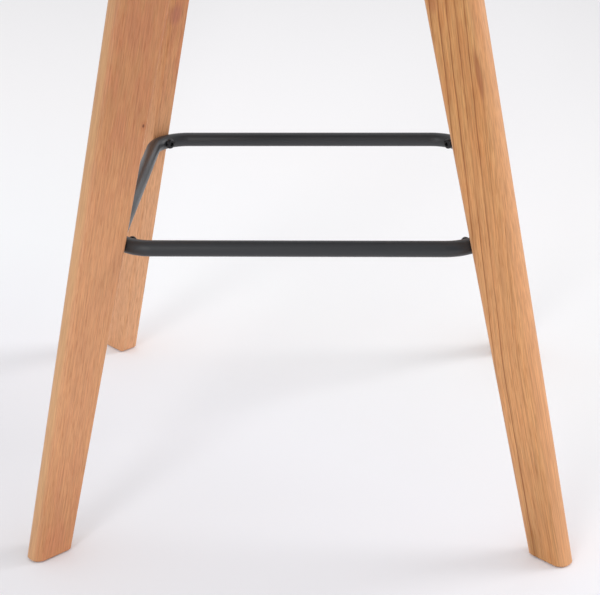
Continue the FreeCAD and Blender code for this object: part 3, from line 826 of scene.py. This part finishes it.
@dataclass(frozen=True)
class CrossFrame:
    """The channels, arms and plate under the seat, with the bolts that hold the legs."""

    cheek_place: float = 13.7 * MM       # from a channel's middle line to the outer face of its cheek
    bead_radius: float = 2.4 * MM
    stitch_length: float = 20.0 * MM
    stitches: tuple[float, ...] = (34.0 * MM, 84.0 * MM)   # from the middle to the start of each stitch
    stitch_inset: float = 0.3 * MM       # from a cheek's outer face in to a stitch's middle line
    stitch_drop: float = 1.5 * MM        # from the plate down to it
    upright_foot: float = 1.0 * MM       # from the cheek's lower edge up to the start of an upright bead
    upright_gap: float = 4.0 * MM        # how much shorter than the cheek an upright bead is
    bolt_radius: float = 2.95 * MM
    bolt_end: float = 1.5 * MM           # how much of each bolt shows past its nut
    thread_pitch: float = 1.0 * MM
    thread_depth: float = 0.3 * MM
    thread_root: float = 0.1 * MM        # how far a thread goes into its bolt
    thread_flank: float = 0.36           # half of a thread's width, as a share of its pitch
    thread_start: float = 0.4 * MM       # from the nut's end
    thread_short: float = 0.7 * MM       # how much of the bolt's end has no thread
    thread_steps: int = 30
    nylon_gap: float = 0.1 * MM          # between the bolt and the nylon
    nylon_width: float = 0.75 * MM
    nylon_rise: float = 0.22 * MM        # how far the nylon stands out of its nut
    nylon_root: float = 0.1 * MM         # how far it goes into its nut
    nylon_edges: tuple[float, float] = (0.15 * MM, 0.2 * MM)     # chamfers at its bore and its outside
    nylon_shoulders: tuple[float, float] = (0.6, 0.5)    # where the chamfers start, as shares of its rise
    nylon_steps: int = 32

    def build(self, coat: bpy.types.Material, black_zinc: bpy.types.Material) -> None:
        """Dresses the frame and adds its welds, its bolts' threads and its nuts' nylon rings.

        Args:
            coat: The powder coat.
            black_zinc: The plating of the bolts and washers.
        """
        for node in ("cross_channel", "cross_arm_front", "cross_arm_rear", "mounting_plate"):
            dress(node, coat)
        for node in ("leg_bolts", "leg_washers"):
            dress(node, black_zinc)
        # Bright zinc plate: the palest metal on the stool, with a soft cold sheen.
        dress("leg_lock_nuts", Plain("zinc_plated_nut", "#B9BBBE", 0.32, metallic=1.0).build())
        self._welds(coat)
        self._bolt_threads(black_zinc)
        self._nylon_rings()

    def _welds(self, coat: bpy.types.Material) -> None:
        """Upright beads where the arms meet the channel, and stitches between the channels and the plate.

        Args:
            coat: The powder coat.
        """
        low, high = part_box("cross_channel")
        web, corner = high.z, self.cheek_place * math.sqrt(2)
        bm = bmesh.new()
        for quarter in range(4):
            turn = Matrix.Rotation(quarter * math.pi / 2, 4, "Z")
            up = Vector((0.0, 0.0, 1.0))
            foot = turn @ Vector((corner, 0.0, low.z + self.upright_foot))
            Bead(foot, up, web - low.z - self.upright_gap, self.bead_radius).add_to(bm)
            arm = turn @ Vector((1.0, 1.0, 0.0)).normalized()
            side = up.cross(arm)
            for start in self.stitches:
                for hand in (-1, 1):
                    aside = side * (hand * (self.cheek_place - self.stitch_inset))
                    first = arm * start + aside + up * (web - self.stitch_drop)
                    Bead(first, arm, self.stitch_length, self.bead_radius).add_to(bm)
        new_piece("frame_weld_beads", bm, coat)

    def _nut_ends(self) -> list[tuple[Vector, Vector]]:
        """Finds the outer end of each lock nut.

        Returns:
            The middle of each nut's outer face, and the way that it faces.
        """
        ends = []
        for solid in solids_of("leg_lock_nuts"):
            middle = middle_of(solid)
            quarter = round(math.atan2(middle.y, middle.x) / (math.pi / 2) - 0.5) + 0.5
            out = Matrix.Rotation(quarter * math.pi / 2, 3, "Z") @ Vector((0.0, 1.0, 0.0))
            ends.append((middle + out * (max(p.dot(out) for p in solid) - middle.dot(out)), out))
        return ends

    def _bolt_threads(self, plating: bpy.types.Material) -> None:
        """The thread on the end of each bolt, wound as a ridge from its nut to just short of its tip.

        Args:
            plating: The bolts' plating.
        """
        bm = bmesh.new()
        turns = (self.bolt_end - self.thread_short) / self.thread_pitch
        root, crest = self.bolt_radius - self.thread_root, self.bolt_radius + self.thread_depth
        half = self.thread_pitch * self.thread_flank
        for face, out in self._nut_ends():
            on_bolt = placed(face + out * self.thread_start, out)
            corners = [bm.verts.new(on_bolt @ Vector(place)) for place in
                       ((root, 0.0, -half), (crest, 0.0, 0.0), (root, 0.0, half))]
            ridge = bm.faces.new(corners)
            rise = out * (self.thread_pitch * turns / self.thread_steps)
            bmesh.ops.spin(bm, geom=[ridge, *ridge.edges, *corners], cent=face, axis=out, dvec=rise,
                           angle=2 * math.pi * turns, steps=self.thread_steps)
        new_piece("leg_bolt_threads", bm, plating)

    def _nylon_rings(self) -> None:
        """The ring of nylon in the collar of each lock nut, which grips the thread."""
        # Natural nylon, moulded: off-white and waxy, a pale ring round each dark bolt end.
        nylon = Plain("natural_nylon_ring", "#D8D4C8", 0.45, grain_mm=0.9).build()
        inner = self.bolt_radius + self.nylon_gap
        outer = inner + self.nylon_width
        root, rise = -self.nylon_root, self.nylon_rise
        at_bore, at_outside = (share * rise for share in self.nylon_shoulders)
        outline = ((inner, root), (inner, at_bore), (inner + self.nylon_edges[0], rise),
                   (outer - self.nylon_edges[1], rise), (outer, at_outside), (outer, root))
        bm = bmesh.new()
        for face, out in self._nut_ends():
            on_nut = placed(face, out)
            corners = [on_nut @ Vector((radius, 0.0, height)) for radius, height in outline]
            spin_outline(bm, corners, face, out, self.nylon_steps)
        new_piece("lock_nut_rings", bm, nylon)


class Seat:
    """The moulded shell with its screws, spacers and inserts."""

    def dress(self, black_zinc: bpy.types.Material) -> None:
        """Gives the shell its moulded grain and the rest their finishes.

        Args:
            black_zinc: The screws' plating.
        """
        # Black polypropylene from an etched mould: soft, broad highlights broken up by a fine leathery grain.
        shell = Plain("moulded_polypropylene", "#2B2C2E", 0.48, grain_mm=0.8, grain_depth_mm=0.05)
        dress("seat_shell", shell.build())
        # Moulded rubber: the deepest black on the stool, with next to no shine.
        dress("seat_spacers", Plain("moulded_rubber_spacer", "#1E1E1E", 0.75).build())
        dress("seat_screws", black_zinc)
        # Turned brass: warm yellow metal with a fine turned sheen.
        dress("seat_inserts", Plain("turned_brass_insert", "#C9A45C", 0.3, metallic=1.0).build())


# ---------------------------------------------------------------- studio
@dataclass(frozen=True)
class SoftBox:
    """A rectangular soft box: where it hangs, what it points at, its width and height, and its power."""

    name: str
    place: tuple[float, float, float]
    target: tuple[float, float, float]
    size: tuple[float, float]
    watts: float

    def hang(self) -> None:
        """Adds the lamp to the scene."""
        light = bpy.data.lights.new(self.name, "AREA")
        light.shape = "RECTANGLE"
        light.size, light.size_y = self.size
        light.energy = self.watts
        lamp = bpy.data.objects.new(self.name, light)
        lamp.location = self.place
        lamp.rotation_euler = (Vector(self.target) - Vector(self.place)).to_track_quat("-Z", "Y").to_euler()
        bpy.context.scene.collection.objects.link(lamp)


@dataclass(frozen=True)
class Studio:
    """Pale seamless floor, soft light and the camera, in metres."""

    floor_size: float = 60.0
    floor_ahead: tuple[float, float, float] = (0.7, 1.0, 0.0)    # the way that the first tones run
    # Painted light and shade along the floor: paler under the stool, where the seat's shade falls, greyer
    # towards the camera and far off, and grey under the fill lamp.
    floor_painted_light: tuple[tuple[float, str], ...] = (
        (-7.4, "#FFFFFF"), (-6.2, "#C0BFC1"), (-5.0, "#C0BFC1"), (-2.8, "#CAC9CB"), (-1.0, "#E4E3E5"),
        (-0.3, "#EEEEF3"), (-0.05, "#F7F7FC"), (0.3, "#FAFBFE"), (0.9, "#F7F6F8"), (1.6, "#F1F0F2"),
        (2.6, "#E8E7E9"), (7.0, "#FFFFFF"))
    # Painted shade across the floor: greyer to the right, grey under the key lamp, and a little greyer left
    # of the stool.
    floor_painted_light_across: tuple[tuple[float, str], ...] = (
        (-0.36, "#FBFBFB"), (-0.22, "#FFFFFF"), (0.4, "#FFFFFF"), (0.7, "#FAFAFA"), (1.0, "#F3F3F3"),
        (2.0, "#E4E4E4"), (3.5, "#CACACA"), (6.5, "#B8B8B8"), (7.9, "#B8B8B8"), (9.4, "#FFFFFF"))
    surround_colour: str = "#E9E8EA"
    mirrored_front: str = "#8A8A8E"
    mirrored_back: str = "#F4F3F6"
    front_fade: tuple[float, float] = (-0.9, 0.1)        # where, going back, the mirrored front gives way
    light_strength: float = 0.84
    soft_boxes: tuple[SoftBox, ...] = (
        SoftBox("key_right", (7.4, 1.8, 3.4), (0.0, 0.0, 0.2), (3.6, 3.6), 268.0),
        SoftBox("fill_front", (-1.76, -4.32, 1.95), (0.0, 0.0, 0.3), (1.28, 3.84), 61.0))
    camera_place: tuple[float, float, float] = (0.05518, -1.45438, 0.76808)
    camera_yaw: float = -0.0415
    camera_pitch: float = 0.3967
    camera_roll: float = -0.0124
    lens: float = 94.286                 # millimetres, as is the sensor
    sensor_width: float = 36.0
    clip_end: float = 50.0

    def build(self) -> None:
        """Builds the studio."""
        self._floor()
        self._world()
        for box in self.soft_boxes:
            box.hang()
        self._camera()
        bpy.context.scene.view_settings.view_transform = "Standard"

    def _floor(self) -> None:
        """A floor, not part of the stool, with painted light and shade, and greyer under each lamp so that it
        doesn't clip.
        """
        m = new_material("pale_studio_floor")
        ahead = self._tones(m, self.floor_ahead, self.floor_painted_light)
        across = self._tones(m, (1.0, 0.0, 0.0), self.floor_painted_light_across)
        colour = add_node(m, "ShaderNodeVectorMath", {0: ahead, 1: across}, operation="MULTIPLY").outputs[0]
        shader = add_node(m, "ShaderNodeBsdfPrincipled", {
            "Base Color": colour, "Roughness": 0.9, "Specular IOR Level": 0.1,
        })
        add_node(m, "ShaderNodeOutputMaterial", {"Surface": shader.outputs[0]})
        mesh = bpy.data.meshes.new("studio_floor")
        bm = bmesh.new()
        bmesh.ops.create_grid(bm, x_segments=1, y_segments=1, size=self.floor_size / 2)
        bm.to_mesh(mesh)
        bm.free()
        mesh.materials.append(m)
        floor = bpy.data.objects.new("studio_floor", mesh)
        bpy.context.scene.collection.objects.link(floor)

    def _tones(
        self, m: bpy.types.Material, towards: tuple[float, float, float], tones: tuple[tuple[float, str], ...]
    ) -> bpy.types.NodeSocket:
        """Tones that change along one direction of the floor.

        Args:
            m: The material.
            towards: The direction, whose length scales the places.
            tones: Where along it each tone is, and its hex colour.

        Returns:
            The tone.
        """
        place = add_node(m, "ShaderNodeTexCoord").outputs["Object"]
        along = add_node(m, "ShaderNodeVectorMath", {
            0: place, 1: towards}, operation="DOT_PRODUCT").outputs["Value"]
        first, last = tones[0][0], tones[-1][0]
        ramp = add_node(m, "ShaderNodeValToRGB", {"Fac": add_node(m, "ShaderNodeMapRange", {
            "Value": along, "From Min": first, "From Max": last, "To Min": 0.0, "To Max": 1.0}).outputs[0]})
        set_ramp(ramp, [((at - first) / (last - first), linear(tone)) for at, tone in tones])
        return ramp.outputs[0]

    def _world(self) -> None:
        """White light all round. The camera sees a pale backdrop, and gloss a room darker in front."""
        world = bpy.data.worlds.new("studio_surround")
        bpy.context.scene.world = world
        world.use_nodes = True
        world.node_tree.nodes.clear()
        light = add_node(world, "ShaderNodeBackground", {
            "Color": linear("#FFFFFF"), "Strength": self.light_strength})
        seen = add_node(world, "ShaderNodeBackground", {
            "Color": linear(self.surround_colour), "Strength": 1.0})
        ahead = add_node(world, "ShaderNodeSeparateXYZ", {
            0: add_node(world, "ShaderNodeTexCoord").outputs["Generated"]}).outputs["Y"]
        sides = add_node(world, "ShaderNodeMix", {
            "Factor": smooth_step(world, ahead, *self.front_fade),
            "A": linear(self.mirrored_front), "B": linear(self.mirrored_back)}, data_type="RGBA")
        mirrored = add_node(world, "ShaderNodeBackground", {
            "Color": sides.outputs["Result"], "Strength": 1.0})
        path = add_node(world, "ShaderNodeLightPath")
        gloss = add_node(world, "ShaderNodeMath", {
            0: path.outputs["Is Glossy Ray"], 1: path.outputs["Is Transmission Ray"]}, operation="MAXIMUM")
        around = add_node(world, "ShaderNodeMixShader", {
            0: gloss.outputs[0], 1: light.outputs[0], 2: mirrored.outputs[0]})
        whole = add_node(world, "ShaderNodeMixShader", {
            0: path.outputs["Is Camera Ray"], 1: around.outputs[0], 2: seen.outputs[0]})
        add_node(world, "ShaderNodeOutputWorld", {"Surface": whole.outputs[0]})

    def _camera(self) -> None:
        """The camera, from its place and its three angles."""
        yaw, pitch, roll = self.camera_yaw, self.camera_pitch, self.camera_roll
        ahead = Vector((math.sin(yaw) * math.cos(pitch), math.cos(yaw) * math.cos(pitch), -math.sin(pitch)))
        level = Vector((math.cos(yaw), -math.sin(yaw), 0.0))
        upright = level.cross(ahead)
        right = level * math.cos(roll) + upright * math.sin(roll)
        up = upright * math.cos(roll) - level * math.sin(roll)
        data = bpy.data.cameras.new("camera")
        data.lens = self.lens
        data.sensor_width = self.sensor_width
        data.clip_end = self.clip_end
        camera = bpy.data.objects.new("camera", data)
        turned = Matrix((right, up, -ahead)).transposed().to_4x4()
        camera.matrix_world = Matrix.Translation(self.camera_place) @ turned
        bpy.context.scene.collection.objects.link(camera)
        bpy.context.scene.camera = camera


def main() -> None:
    """Dresses the stool and sets up the studio."""
    logging.basicConfig(level=logging.INFO, format="%(name)s: %(message)s")
    coat = PowderCoat().build()
    # Black zinc plate on rolled and punched steel: dark and a little shiny, with a cold grey edge.
    black_zinc = Plain("black_zinc_plate", "#2A2A2C", 0.38, metallic=0.6).build()
    Legs().dress()
    Footrest().build(coat, black_zinc)
    CrossFrame().build(coat, black_zinc)
    Seat().dress(black_zinc)
    Studio().build()


if __name__ == "__main__":
    main()
